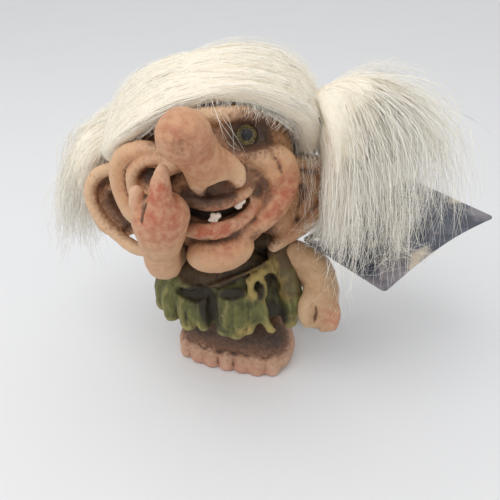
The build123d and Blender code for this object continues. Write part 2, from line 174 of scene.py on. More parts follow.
scene.world = bpy.data.worlds.new("light_tent")
scene.world.use_nodes = True
tent = scene.world.node_tree.nodes["Background"]
tent.inputs["Color"].default_value = (*srgb(250, 250, 250), 1)
tent.inputs["Strength"].default_value = 0.84
softbox = bpy.data.objects.new("softbox", bpy.data.lights.new("softbox", "AREA"))
softbox.data.size = 0.6
softbox.data.energy = 2.0
softbox.location = (-0.12, -0.3, 0.6)
softbox.rotation_euler = (softbox.location - camera_target * mm).to_track_quat("Z", "Y").to_euler()
scene.collection.objects.link(softbox)


# Feet: one casting of both feet with a row of stubby toes, pink at the toe tips, brown on top with
# painted shade under the hem, and a dark wash with painted shade in the gaps. The figure stands
# on its flat underside.
class Clay:
    """Modelling clay on a fine grid, in millimetres: forms are pressed on or scooped out, then cast."""

    reach = 4.0

    def __init__(self, low, high, grain):
        self.low = np.array(low, float)
        self.grain = grain
        self.counts = np.ceil((np.array(high) - self.low) / grain).astype(int) + 1
        self.skin = np.full(self.counts, self.reach, np.float32)

    def around(self, low, high):
        """The part of the grid that covers a box, with the coordinates of its points."""
        first = np.floor((np.array(low) - self.low) / self.grain).astype(int)
        first = np.clip(first, 0, self.counts - 2)
        last = np.ceil((np.array(high) - self.low) / self.grain).astype(int) + 1
        last = np.clip(last, first + 1, self.counts)
        axes = [
            (self.low[i] + self.grain * np.arange(first[i], last[i])).astype(np.float32) for i in range(3)
        ]
        return tuple(slice(a, b) for a, b in zip(first, last)), np.ix_(*axes)

    def oval(self, at, radii, turn=(0, 0, 0)):
        """An oval lump, as its distances from the points round it."""
        at = np.array(at, float)
        spin = np.array(Euler([radians(a) for a in turn]).to_matrix())
        room = max(radii) + self.reach
        where, place = self.around(at - room, at + room)
        off = [c - a for c, a in zip(place, at)]
        own = [sum(off[j] * spin[j, i] for j in range(3)) for i in range(3)]
        near = np.sqrt(sum((c / r) ** 2 for c, r in zip(own, radii)))
        slope = np.sqrt(sum((c / r**2) ** 2 for c, r in zip(own, radii)))
        gap = np.where(slope > 1e-5, near * (near - 1) / np.maximum(slope, 1e-5), -min(radii))
        return where, gap

    def roll(self, line, steps=6):
        """A round roll that curves through points, each with its radius, as its distances."""
        line = curve_through(np.array(line, float), steps)
        room = line[:, 3].max() + self.reach
        where = self.around(line[:, :3].min(0) - room, line[:, :3].max(0) + room)[0]
        gap = np.full(self.skin[where].shape, self.reach, np.float32)
        start = np.array([s.start for s in where])
        for a, b in zip(line, line[1:]):
            room = max(a[3], b[3]) + self.reach
            patch, axes = self.around(np.minimum(a, b)[:3] - room, np.maximum(a, b)[:3] + room)
            inner = tuple(slice(max(s.start - o, 0), s.stop - o) for s, o in zip(patch, start))
            d = b - a
            off = [axis - origin for axis, origin in zip(axes, a)]
            along = np.clip(sum(o * s for o, s in zip(off, d)) / (d[:3] @ d[:3]), 0, 1)
            far = np.sqrt(sum((o - along * s) ** 2 for o, s in zip(off, d)))
            gap[inner] = np.minimum(gap[inner], far - a[3] - along * d[3])
        return where, gap

    def press(self, blend, where, gap):
        """Presses a form on, with a soft join of some width."""
        old = self.skin[where]
        share = np.clip(0.5 + 0.5 * (gap - old) / blend, 0, 1)
        self.skin[where] = gap + (old - gap) * share - blend * share * (1 - share)

    def scoop(self, blend, where, gap):
        """Scoops a form out, with a soft edge of some width."""
        old = self.skin[where]
        share = np.clip(0.5 - 0.5 * (old + gap) / blend, 0, 1)
        self.skin[where] = old - (gap + old) * share + blend * share * (1 - share)

    def press_oval(self, blend, *oval):
        """Presses on an oval lump of some middle, radii and turn."""
        self.press(blend, *self.oval(*oval))

    def press_roll(self, blend, *line):
        """Presses on a roll through points, each with its radius."""
        self.press(blend, *self.roll(line))

    def scoop_oval(self, blend, *oval):
        """Scoops out an oval hollow."""
        self.scoop(blend, *self.oval(*oval))

    def scoop_roll(self, blend, *line):
        """Scoops out a round groove."""
        self.scoop(blend, *self.roll(line))

    def scratch(self, blend, *line):
        """Scratches a line into the surface, wherever that lies nearest to the line."""
        line = curve_through(np.array(line, float))
        edge = np.array(self.counts) - 2
        for _ in range(6):
            cells = np.clip((line[:, :3] - self.low) / self.grain, 1.0, edge - 0.01)
            whole = cells.astype(int)
            steps = np.stack(
                [
                    self.skin[tuple((whole + shift).T)] - self.skin[tuple((whole - shift).T)]
                    for shift in np.eye(3, dtype=int)
                ],
                1,
            )
            steps /= np.linalg.norm(steps, axis=1, keepdims=True) + 1e-6
            line[:, :3] -= steps * self.skin[tuple(whole.T)][:, None] * 0.8
        self.scoop(blend, *self.roll(line, 1))

    def trim_below(self, height):
        """Cuts the clay off flat at a height."""
        levels = self.low[2] + self.grain * np.arange(self.counts[2])
        self.skin = np.maximum(self.skin, (height - levels).astype(np.float32))

    def rubbed(self, width):
        """The clay's distances after rubbing it down over some width."""
        soft = np.clip(self.skin, -width, width)
        half = max(1, round(width / self.grain / 2))
        for axis in (0, 1, 2) * 2:
            edges = [(half + 1, half) if i == axis else (0, 0) for i in range(3)]
            total = np.cumsum(np.pad(soft, edges, mode="edge"), axis=axis, dtype=np.float64)
            count = soft.shape[axis]
            upper = np.take(total, np.arange(2 * half + 1, 2 * half + 1 + count), axis=axis)
            lower = np.take(total, np.arange(count), axis=axis)
            soft = ((upper - lower) / (2 * half + 1)).astype(np.float32)
        return soft

    def at_points(self, values):
        """Values of the grid at the cast's points."""
        whole = np.clip(np.floor(self.cells).astype(int), 0, self.counts - 2)
        part = self.cells - whole
        found = 0
        for corner in np.ndindex(2, 2, 2):
            weight = np.prod(np.abs(1 - np.array(corner) - part), axis=1)
            found = found + weight * values[tuple((whole + corner).T)]
        return found

    def cast(self, name, place=Matrix(), lumps=0.2, seed=0):
        """The clay as a mesh, marked for wash and painted shade in hollows, rubbed paint and painted
        highlight on ridges.
        """
        grid = openvdb.FloatGrid(background=self.reach)
        grid.copyFromArray(np.clip(self.skin, -self.reach, self.reach))
        self.cells, quads = grid.convertToQuads(0.0)
        self.points = self.low + self.cells * self.grain
        mesh = bpy.data.meshes.new(name)
        mesh.from_pydata(self.points, [], quads)
        mesh.update()
        normals = np.zeros(len(self.points) * 3, np.float32)
        mesh.vertex_normals.foreach_get("vector", normals)
        lump_size = 2.6
        pit_share = 0.45
        offset = np.array(
            [
                noise.noise(Vector(p) / lump_size + Vector((seed, 0, 0)))
                + pit_share * noise.noise(Vector(p) + Vector((0, seed, 0)))
                for p in self.points
            ]
        )
        shaped = self.points + normals.reshape(-1, 3) * (offset * lumps)[:, None]
        mesh.vertices.foreach_set("co", (shaped * mm).astype(np.float32).ravel())
        mesh.transform(place)
        mesh.shade_smooth()
        mesh.update()
        self.mesh = mesh
        fine_width = 1.3
        broad_width = 4.5
        crease_depth = 0.3
        ridge_height = 0.2
        # The hollows take dark wash and painted shade, the high spots rubbed paint and a painted
        # highlight
        fine = self.at_points(self.rubbed(fine_width))
        broad = self.at_points(self.rubbed(broad_width))
        self.wash_and_shade = np.clip(np.maximum(-fine / crease_depth, -broad), 0, 1)
        self.mark("wash_and_shade", self.wash_and_shade)
        self.mark("high", np.clip(np.maximum(fine / ridge_height, broad), 0, 1))
        made = bpy.data.objects.new(name, mesh)
        scene.collection.objects.link(made)
        return made

    def mark(self, name, values):
        """Marks the cast's points with values under a name."""
        layer = self.mesh.attributes.new(name, "FLOAT", "POINT")
        layer.data.foreach_set("value", np.asarray(values, np.float32))

    def darken(self, *places):
        """Brushes more dark wash, and painted shade with it, into some places."""
        layer = self.mesh.attributes["wash_and_shade"]
        layer.data.foreach_set("value", np.maximum(self.wash_and_shade, self.spots(*places)).astype(np.float32))

    def spots(self, *places):
        """Soft round spots of paint, each with its middle, radius and strength."""
        bare = np.ones(len(self.points))
        for *at, radius, strength in places:
            off = np.linalg.norm(self.points - np.array(at), axis=1) / radius
            bare *= 1 - strength * np.exp(-(off**2))
        return 1 - bare


def curve_through(points, steps=6):
    """Points along a smooth curve that passes through the given ones."""
    ends = np.concatenate([[2 * points[0] - points[1]], points, [2 * points[-1] - points[-2]]])
    made = []
    for a, b, c, d in zip(ends, ends[1:], ends[2:], ends[3:]):
        for t in np.arange(steps) / steps:
            bend = 2 * a - 5 * b + 4 * c - d
            twist = 3 * b - a - 3 * c + d
            made.append(0.5 * (2 * b + (c - a) * t + bend * t**2 + twist * t**3))
    return np.array([*made, points[-1]])


def paint_cast(made, name, ground, shade, blush, high, specks=0.5):
    """Paint on a casting: mottled ground, blush, rubbed paint and painted highlight on high spots, glaze,
    wash and painted shade in hollows.
    """
    glaze_and_shade = (126, 82, 54)
    wash_and_shade = (50, 38, 30)
    finish = Finish(name, ground, 0.6)
    mottle = finish.grain(2.4)
    finish.layer(shade, finish.between(mottle, 0.42, 0.75, 0.75))
    # Rubbed paint on the high spots, which is also a painted highlight
    finish.layer(high, finish.between(finish.sum_of(finish.mark("high"), mottle), 0.85, 1.5, 0.6))
    patchy = finish.sum_of(finish.mark("blush"), finish.between(mottle, 0.2, 0.8, 1.5), "MULTIPLY")
    finish.layer(blush, finish.between(patchy, 0.05, 0.9))
    # Brown glaze and dark wash in the hollows, which are also painted shade
    wash_and_shade_pool = finish.sum_of(finish.mark("wash_and_shade"), finish.between(finish.grain(1.1), 0.3, 0.7, 0.3))
    finish.layer(glaze_and_shade, finish.between(wash_and_shade_pool, 0.26, 0.75, 0.9))
    for size, level in ((0.5, 0.66), (1.1, 0.7)):
        finish.speckle(wash_and_shade, size, level, level + 0.09, specks, 2.0)
    finish.layer(wash_and_shade, finish.between(wash_and_shade_pool, 0.45, 1.1, 0.94))
    finish.rough(mottle, 0.48, 0.75)
    finish.relief(finish.grain(0.5, 5.0), 0.08, 0.7)
    made.data.materials.append(finish.material)


clay = Clay((-24, -18, -1), (24, 16, 25), 0.4)
clay.press_oval(0.8, (-9, 1, 6), (12, 13.5, 14))
clay.press_oval(3, (9, 1, 6), (12, 13.5, 14))
for side in (-1, 1):
    clay.press_roll(2, (side * 17, -4, 5, 4.4), (side * 15.5, 3, 5, 5.5), (side * 12, 8, 5, 4.5))
clay.press_roll(4, (0, 0, 12, 11.5), (0, 1, 23, 9))
toe_places = (-17, -11.6, -6.2, -0.4, 5.2, 10.8, 16.2)
toe_widths = (2.7, 2.7, 3, 3.1, 2.8, 2.8, 2.7)
toe_line = []
for toe_x, toe_width in zip(toe_places, toe_widths):
    toe_y = 4.4 * (toe_x / 20) ** 4 - 9.8
    toe_top = 7.2 + 0.7 * sin(3.1 * toe_x)
    clay.press_roll(
        1.3, (toe_x, toe_y + 0.6, toe_top, toe_width - 0.2), (toe_x, toe_y, 4.4, toe_width),
        (toe_x, toe_y - 0.4, 2, toe_width),
    )
    toe_line.append((toe_x - 2.7, toe_y - 1.8, toe_top + 0.8, 0.25))
    toe_line.append((toe_x, toe_y - 1.4, toe_top + 1.8, 0.3))
clay.scratch(1.8, *toe_line)
clay.trim_below(0.25)
feet_cast = clay.cast("feet_cast", lumps=0.15, seed=1)
clay.mark("blush", clay.spots(*[(x, -13, 0, 4.5, 0.5) for x in toe_places]))
# Painted shade on top of the feet, under the tunic's hem
clay.darken(*[(x, -6.4 + 0.008 * x * x, 13, 6, 0.97) for x in range(-16, 17, 4)])
paint_cast(feet_cast, "feet_paint", (186, 148, 122), (156, 114, 90), (186, 120, 104), (206, 172, 146))
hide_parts("feet")
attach(feet_cast, "figure")


# Tunic: the body casting, a smock of leaves gathered in soft folds to a ragged hem, under a brown
# cape with a thin ridged edge. It is painted moss green, with the leaf tips brushed yellow, its
# ridges rubbed yellowish as painted highlight and near-black painted shade in its hollows and gaps,
# and holds the feet, the arms and the head.
clay = Clay((-38, -28, 10), (32, 32, 62), 0.42)
clay.press_oval(0.8, (-3, 3, 27), (23, 19, 9.5))
clay.press_oval(5, (-3.5, 2.5, 36), (20, 16.4, 11))
clay.press_roll(3, (-8, 0.5, 40, 10.5), (-8, 0.5, 58, 9))
# Folds of the skirt from the waist to the hem, each with its tip's yellow
folds = [
    ((-22.5, -2.5, 35, 4), (-25.6, -4.4, 27.5, 4.4), (-26.2, -5.4, 20.4, 3.2), 0.3),
    ((-17.6, -8.6, 34, 3.8), (-20.4, -10.4, 27.5, 4.2), (-20.4, -11.4, 20.8, 3), 0.3),
    ((-11.6, -11.8, 33, 3.8), (-12.6, -14.2, 27.5, 4.2), (-12.2, -15.4, 21.6, 3), 0.45),
    ((-7.4, -13.4, 32, 2.4), (-7.2, -15.4, 28, 2.8), (-6.2, -16.6, 22.6, 2.2), 0.6),
    ((1.4, -13.6, 35, 3), (1.8, -15, 29, 4.4), (1, -16.2, 23, 3), 0.2),
    ((5, -13, 34, 3.2), (5.6, -14.6, 28, 4.2), (5.4, -16.2, 21.8, 2.6), 0.35),
    ((9.4, -12.4, 33, 2.6), (9.6, -13.6, 28, 2.8), (9.2, -14.8, 23.2, 2), 0.95),
    ((11.4, -12.6, 36.4, 1.9), (13.6, -11.8, 29, 2.3), (16.2, -10.6, 22.4, 1.9), 1),
    ((19, -3, 36, 3), (20.6, -3.6, 28, 3.4), (20.8, -3.8, 21.6, 2.6), 0.7),
]
for step, drop in enumerate((0, -1.6, 0.8, -0.8, 1, -1.2, 0.4, -1.4, 0.6)):
    turn = radians(92 + 21 * step)
    folds.append(
        (
            (-3 + 19.5 * sin(turn), 3 - 15.8 * cos(turn), 35, 3.6),
            (-3 + 22 * sin(turn), 3 - 18.2 * cos(turn), 28, 4.2),
            (-3 + 23 * sin(turn), 3 - 19.2 * cos(turn), 21.4 + drop, 2.8),
            0.35,
        )
    )
yellow_spots = []
for waist, middle, tip, yellow in folds:
    clay.press_roll(2.6, waist, middle, tip)
    yellow_spots.append((tip[0] * 1.06, tip[1] * 1.08, tip[2], 4.6, yellow))
# Cape over the shoulders, with a thin ridge for its edge and a roll at the left shoulder
clay.press_oval(1.2, (-4, 1.4, 41.6), (16.6, 13.4, 7.6), (-14, 10, 0))
cape_edge = (
    (-18.6, -7.4, 33.6), (-12, -13, 34.8), (-5.2, -14.8, 37), (2, -13, 40.4), (9, -9.4, 43.4),
    (13.4, -3.4, 45), (13.6, 4, 45), (9, 13, 43.4), (0, 17, 42), (-10, 16.4, 41),
    (-18.6, 10, 39), (-21.6, 1, 36), (-18.6, -7.4, 33.6),
)
clay.press_roll(1.4, *[(x, y, z, 0.6) for x, y, z in cape_edge])
clay.press_roll(2, (6, 5, 47, 5), (11.6, 2.6, 49.4, 4.2), (15, 0.6, 48.4, 3.2))
# Torn yellow flaps at the left shoulder
for flap in (
    ((8.8, -12.2, 40.6, 1.3), (10.6, -9.6, 41.8, 1.7), (13.4, -4.8, 42.8, 1.7), (15, -1, 44, 1.4)),
    ((11, -9.6, 41.4, 1.5), (12.6, -10.2, 38.4, 1.4), (13.6, -11, 35, 1.1)),
    ((9.2, -11.6, 40.4, 1.3), (9.8, -13.4, 37, 1.2)),
    ((13.8, -4.6, 42.4, 1.5), (16.6, -5.2, 38.4, 1.5), (18.6, -5.6, 33.6, 1.4)),
    ((14.6, -0.6, 46, 3.4), (18.8, -3.4, 40.4, 3.8), (21.2, -4.4, 33, 3.6), (21.6, -4.2, 26.6, 2.8)),
):
    clay.press_roll(0.7, *flap)
    yellow_spots += [(x * 1.04, y * 1.06, z, 3, 0.9) for x, y, z, _ in flap]
# Deep gaps among the folds and under the cape
gap_lines = (
    ((-4.2, -17, 34.4, 0.9), (-3.2, -19, 29.4, 2.6), (-2.6, -20, 23.6, 1.4)),
    ((16, -9.8, 33, 0.8), (17.6, -9.2, 27.4, 2.2), (19, -8, 22.4, 1.4)),
    ((11.2, -11, 39.4, 0.6), (12, -12.4, 36.8, 1.1), (12.4, -12.6, 33.6, 0.5)),
    ((14.6, -6.2, 40, 0.6), (15.6, -7.6, 37.2, 1.1), (16, -8.8, 34.4, 0.5)),
    ((-16.6, -12, 31.6, 0.8), (-9.4, -17, 33.8, 1.8), (-5, -17, 35.2, 1)),
    ((0.6, -16.6, 36, 0.5), (4, -16.6, 36.6, 1), (7.4, -15.4, 37.2, 0.5)),
)
for gap_line in gap_lines:
    clay.scratch(1.2, *gap_line)
clay.scratch(0.6, *[(x * 1.02, y * 1.05, z - 1.6, 0.3) for x, y, z in cape_edge])
# Torn and veined leaf surfaces
leaf_chance = np.random.default_rng(3)
for waist, middle, tip, _ in folds:
    for _ in range(3):
        shift = leaf_chance.uniform(-3, 3, 3) * (1, 1, 0.5)
        push = np.array((middle[0] + 3, middle[1] - 3, 0))
        push = push / np.linalg.norm(push) * middle[3]
        vein = [
            (*(np.array(end[:3]) + shift + push), depth)
            for end, depth in ((waist, -0.3), (middle, -0.1), (tip, -0.2))
        ]
        clay.scratch(1.4, *vein)
tunic_cast = clay.cast("tunic_cast", lumps=0.26, seed=2)
clay.mark("blush", clay.spots(*yellow_spots))
# Dark wash and painted shade in the deep gaps among the folds and under the cape
gap_points = np.concatenate([curve_through(np.array(line)) for line in gap_lines])
clay.darken(*[(x * 0.97, y * 0.93, z, 0.8 + 1.1 * radius, 0.6) for x, y, z, radius in gap_points])
cape_x, cape_y, cape_z = clay.points.T
cape_out = np.hypot((cape_x + 4) / 17.4, (cape_y - 1.4) / 15.2)
cape_front = np.interp(cape_x, (-18.6, -5.2, 2, 13.4), (33.6, 37, 40.4, 45))
cape_back = np.interp(cape_x, (-21.6, -18.6, 0, 13.6), (36, 39, 42, 45))
over_edge = cape_z - np.where(cape_y < 2, cape_front, cape_back)
cape_share = np.clip(over_edge + 1.8, 0, 1) * np.clip((1.16 - cape_out) / 0.08, 0, 1)
shoulder_share = clay.spots((20, -5, 38, 8, 0.6), (17, -2, 47, 6, 0.9))
clay.mark("brown", np.maximum(cape_share, shoulder_share))
# Paint: moss green over a dark ground, yellow on the tips and brown towards the neck, rubbed
# yellowish on the ridges as painted highlight and near-black in the hollows as painted shade
leaf_paint = Finish("tunic_paint", (90, 90, 44), 0.65)
patches = leaf_paint.grain(4.0)
streaks = leaf_paint.grain(1.6, 5.0, (1, 1, 0.35))
leaf_paint.layer((122, 118, 62), leaf_paint.between(streaks, 0.45, 0.7, 0.8))
leaf_paint.layer((58, 60, 28), leaf_paint.between(patches, 0.48, 0.7, 0.85))
for colour, mark, texture, operation, low, high, top in (
    ((146, 138, 84), "high", streaks, "ADD", 0.95, 1.55, 0.7),
    ((84, 64, 38), "brown", patches, "ADD", 0.7, 1.1, 0.96),
    ((66, 46, 30), "brown", streaks, "MULTIPLY", 0.45, 0.6, 0.9),
    ((170, 146, 84), "blush", streaks, "MULTIPLY", 0.2, 0.5, 0.85),
):
    broken = leaf_paint.sum_of(leaf_paint.mark(mark), texture, operation)
    leaf_paint.layer(colour, leaf_paint.between(broken, low, high, top))
# Near-black dark wash in the hollows, also painted shade
wash_and_shade_pool = leaf_paint.sum_of(leaf_paint.mark("wash_and_shade"), leaf_paint.between(streaks, 0.35, 0.65, 0.3))
leaf_paint.layer((38, 29, 16), leaf_paint.between(wash_and_shade_pool, 0.3, 0.95, 0.95))
leaf_paint.rough(patches, 0.5, 0.8)
leaf_paint.relief(leaf_paint.grain(0.7, 5.0), 0.12, 0.8)
tunic_cast.data.materials.append(leaf_paint.material)
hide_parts("tunic_body")
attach(tunic_cast, "figure")


# Left arm: a short arm that hangs at the side, cast with a thumb and closed fingers and
# pegged into the tunic. Its paint is the face's, yellowish on the thumb and pink on the fingers.
clay = Clay((12, -17, 14), (46, 14, 56), 0.36)
clay.press_roll(0.8, (20, 3, 43, 6.2), (27, 1.6, 40.5, 6.2), (30.6, -1, 35, 5.9), (31.4, -2.6, 30, 5.6))
clay.press_oval(1.4, (33.6, -3.4, 27.2), (4.3, 4.2, 5.8), (8, 8, 0))
for aside, reach in ((-2.4, 0), (0.4, 0.9), (3, 0.2)):
    clay.press_roll(
        0.9, (33.6 + aside, -5, 29, 1.9), (33.2 + aside, -6.2, 25.4 - reach, 1.9),
        (32.4 + aside, -4.6, 23 - reach, 1.7),
    )
clay.press_roll(
    1.8, (28.4, -4.4, 34.6, 3.1), (27.2, -6.6, 31.4, 3), (27, -7.2, 27.6, 2.6), (27.8, -6.6, 24.8, 2.2),
)
clay.scratch(1.4, (30.4, -7.8, 32.6, -0.3), (30.8, -8.2, 29.8, 0), (30.4, -8.2, 25.4, -0.2))
left_arm_cast = clay.cast("left_arm_cast", seed=3)
clay.mark("blush", clay.spots((37, -5, 27, 6, 0.85), (27.5, 1, 42, 4, 0.3)))
paint_cast(
    left_arm_cast, "left_arm_paint", (184, 150, 114), (156, 116, 82), (176, 112, 88), (206, 176, 140)
)
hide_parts("left_arm")
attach(left_arm_cast, "figure")


# Right arm: cast in one bent piece, from the shoulder to an elbow in front of the tunic and up
# to a fist laid against the mouth, with the forefinger up along the nose and the thumb at the
# cheek. It is pegged into the tunic and glued to the cheek, and painted pink on the hand.
clay = Clay((-36, -48, 34), (8, 10, 94), 0.4)
clay.press_roll(
    0.8, (-23, -1, 42, 6.8), (-20, -14, 45, 6), (-15, -24.6, 50.4, 5.4), (-13.8, -27.6, 53.8, 5.2),
)
clay.press_roll(
    1.5, (-14, -27.6, 53.2, 5.2), (-12.8, -30.4, 59.8, 5.9), (-10.8, -33.4, 67, 7.2),
    (-9.6, -34.6, 71.8, 7.4),
)
# Back of the hand, its knuckles against the lips
clay.press_oval(2.2, (-7.2, -34, 73), (5, 4.6, 5.8), (0, 16, 0))
clay.press_oval(2, (-13.4, -35, 71), (5, 4.6, 6.2), (0, -8, 0))
# Forefinger
clay.press_roll(
    1.4, (-8, -37.4, 75, 4.2), (-8, -37.6, 79.6, 3.4), (-7.7, -37.2, 83.6, 2.6), (-7.2, -36.6, 87, 1.7),
)
# Thumb
clay.press_roll(0.9, (-14.2, -37.2, 72.4, 2.9), (-15.3, -36.9, 76.2, 2.4), (-15.8, -36.2, 79.2, 2.1))
clay.scratch(1.6, (-12.2, -38.6, 80.6, 0.5), (-12.4, -39.6, 76.8, 0.4), (-12.2, -40.4, 73, 0.2))
right_arm_cast = clay.cast("right_arm_cast", seed=4)
hand_blush = clay.spots((-8, -40, 82, 6.5, 0.9), (-6.4, -38, 73, 7, 0.95), (-11, -40, 72, 5.5, 0.6))
clay.mark("blush", hand_blush)
paint_cast(
    right_arm_cast, "right_arm_paint", (200, 156, 120), (170, 122, 88), (172, 98, 72), (218, 186, 154)
)
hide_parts("right_arm")
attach(right_arm_cast, "figure")


# Head: one casting of skull, face and ears, with a long bulbous nose, laughing cheeks in heavy
# folds and an open mouth. It is glued on the neck, tan with pink on nose, cheeks and lips, and
# a dark wash that is also painted shade in every fold, round the eyes, in the ears and under the
# jaw.
head_place = Matrix.Translation(Vector((-8, 0.5, 76)) * mm) @ (
    Matrix.Rotation(radians(25), 4, "Z") @ Matrix.Rotation(radians(-12), 4, "X")
)
clay = Clay((-47, -51, -36), (47, 30, 29), 0.48)
clay.press_oval(0.8, (0, 0, 0), (26, 26, 26))
clay.press_oval(4, (0.6, -11, -13), (17, 14.6, 14.5))
# Brow over the two sockets
clay.press_roll(
    2, (-16.5, -16, 13, 2), (-9.5, -20.6, 15.8, 2.4), (0, -23, 16, 2.6), (9.5, -20.6, 16, 2.4),
    (16.5, -16, 13.4, 2),
)
# Left cheek: a heavy laugh fold that starts beside the nose and curls round the mouth's corner
clay.press_oval(2.5, (14.5, -15.5, -2), (8.5, 8, 8))
clay.press_roll(
    1.4, (6.8, -23.6, 4.2, 2.6), (12, -21.6, 3.8, 4), (18.6, -18, 1.6, 4.8), (20.6, -16.4, -4.6, 4.7),
    (17.4, -18.2, -11.6, 4.1), (11.4, -21.2, -16.6, 3), (6, -22, -19.5, 2),
)
clay.scoop_roll(
    1.2, (6.6, -27.2, 3.4, 0.9), (10.4, -25.6, 0.4, 1.4), (13.8, -23.4, -4, 1.8),
    (14.4, -22.8, -7.8, 1.6), (11.2, -24.4, -11, 1),
)
clay.scratch(1.8, (15.4, -23.4, 4.8, -0.2), (17.6, -22.6, 2.4, 0.5), (19, -21.8, -1.6, -0.2))
# Right cheek: the fold is pushed up in two rolls by the hand
clay.press_oval(2.5, (-17, -14, -3), (9, 8, 9))
clay.press_roll(
    1, (-14.5, -23.6, 6.6, 2.6), (-21.6, -20.4, 6.6, 3.2), (-26.2, -17, 4, 3.5),
    (-27.6, -15.2, -0.6, 3.6), (-27, -14.6, -6, 3.6), (-24.4, -16, -12, 3.4), (-18, -18.6, -17, 2.6),
)
clay.press_roll(
    0.6, (-13.6, -25, 4.6, 2), (-20, -22.8, 4, 2.3), (-23.6, -20.4, 0.2, 2.3), (-24, -19, -5, 2),
)
clay.press_roll(0.7, (-11, -26, 3.4, 2.2), (-15, -25.4, 1.6, 2.2), (-17, -23.6, -3, 2))
clay.scoop_roll(0.8, (-16.8, -25.8, 2.8, 0.7), (-19.8, -23.8, 0.8, 1.5), (-21, -22.2, -4, 1.5))
# Nose: a thick trunk that swells to a bulb, with wings and one wide nostril arch
clay.press_roll(
    1.6, (0.6, -21, -0.6, 6.6), (-0.8, -27.4, 1.4, 6.5), (-3.8, -32.2, 5, 6.1), (-6.4, -35.8, 8.8, 6.2),
    (-8.8, -39.2, 12.6, 6.7),
)
clay.press_oval(1.5, (-9, -39.8, 13), (7.1, 6.7, 7))
clay.press_roll(1.8, (1.8, -30.6, 4.4, 2.4), (4.6, -29.2, 1.6, 2.8), (5.2, -28.8, -1, 2.4))
clay.press_roll(1.8, (-6.6, -32.4, 2.4, 2.4), (-6, -31.2, -0.8, 2.5), (-5, -30.2, -3, 1.9))
clay.scoop_oval(1.6, (0.2, -31.4, -3.8), (3.9, 4.2, 3.8))
clay.scoop_oval(1, (0.2, -29.6, -1.6), (2.6, 2.4, 2.6))
# Mouth: a thin upper lip and a thick lower one round a dark opening
clay.press_roll(
    0.8, (-8.6, -24.8, -7.4, 1.7), (-2.7, -27.4, -8, 2.1), (2.6, -27.4, -7.3, 2.1),
    (7.1, -25.6, -5.8, 1.8), (10.4, -23.4, -4.2, 1.2),
)
clay.press_roll(
    0.8, (-9.6, -23.6, -16.2, 2.4), (-3.6, -26.8, -16, 2.8), (2.4, -26.4, -15.1, 2.8),
    (7.5, -24.2, -12.8, 2.5), (11, -21.8, -9.6, 1.6),
)
for inward, width in ((0, 1.5), (3, 2), (6, 1.8)):
    clay.scoop_roll(
        0.6, (-8.2, -26.6 + inward, -10.9, 0.8 * width), (-3.8, -29 + inward, -11.9, width),
        (0.9, -29 + inward, -11.5, width), (6, -27 + inward, -9.6, 0.9 * width),
        (9.6, -25 + inward, -7.2, 0.4 * width),
    )
# Chin, with a deep line under the lip
clay.press_oval(1.4, (0.2, -20.4, -24.2), (10.4, 7, 6.6), (0, -10, 0))
clay.scoop_roll(
    0.8, (-11.6, -23.6, -18.4, 0.9), (-3.7, -29, -19.2, 1.1), (2.3, -28.6, -18.4, 1.2),
    (6.9, -26.2, -16.2, 1), (10.6, -23.6, -13.8, 0.7),
)
# Ears: a curled rim round a dish, with an inner ridge and a lobe
for rim, dish, ridge, bridge in (
    (
        (
            (-27, -6, 0.4, 1.8), (-31.4, -4.2, -0.6, 2), (-35.6, -2.6, -2.2, 2.1), (-38.6, -1.6, -6, 2.1),
            (-39, -1.4, -11, 2.1), (-36.6, -2.2, -16.8, 2.1), (-31.8, -4, -22, 2.1),
            (-26.4, -6.4, -26, 2.2), (-21.6, -8, -27, 2),
        ),
        ((-31, 1.2, -12), (9.6, 2, 13), (0, 8, -6)),
        ((-28, -3, -5, 1.4), (-33.6, -1.2, -8, 1.4), (-33.8, -0.8, -13, 1.4), (-29.6, -2.4, -19, 1.5)),
        ((-24, 0, -12), (6, 6, 12)),
    ),
    (
        (
            (23.6, -5.6, -0.8, 1.8), (29.1, -3.4, -1.6, 2), (35.1, -1.6, -2.2, 2.1),
            (39.4, -0.8, -6.4, 2.1), (40, -0.8, -13, 2.1), (36.4, -1.6, -18.6, 2.1),
            (29.4, -3.4, -23.2, 2.4), (22.4, -5.6, -25.8, 2.8), (18.6, -8.6, -27.4, 2.2),
        ),
        ((31, 0.6, -12.4), (10.2, 2.6, 13), (0, -8, 6)),
        ((27, -2.4, -6, 1.6), (32.6, -0.8, -8.6, 1.6), (33, -0.6, -13, 1.6), (28.6, -2, -18.4, 1.8)),
        ((23, 0, -12), (6, 6, 11)),
    ),
):
    clay.press_oval(3, *bridge)
    clay.press_oval(1.5, *dish)
    clay.press_roll(2.2, *rim)
    clay.press_roll(1.8, *ridge)
clay.press_oval(2.5, (19, -3, -19), (7, 6, 6))
# Eye sockets, and a seat for each glass eye
for side in (1, -1):
    clay.scoop_oval(1.2, (side * 9.4, -24.2, 10), (6.2, 4.6, 3.7), (0, side * 4, side * 14))
    clay.scoop_roll(0.3, (side * 9.2, -19, 10, 3.1), (side * 9.2, -24, 10, 3))
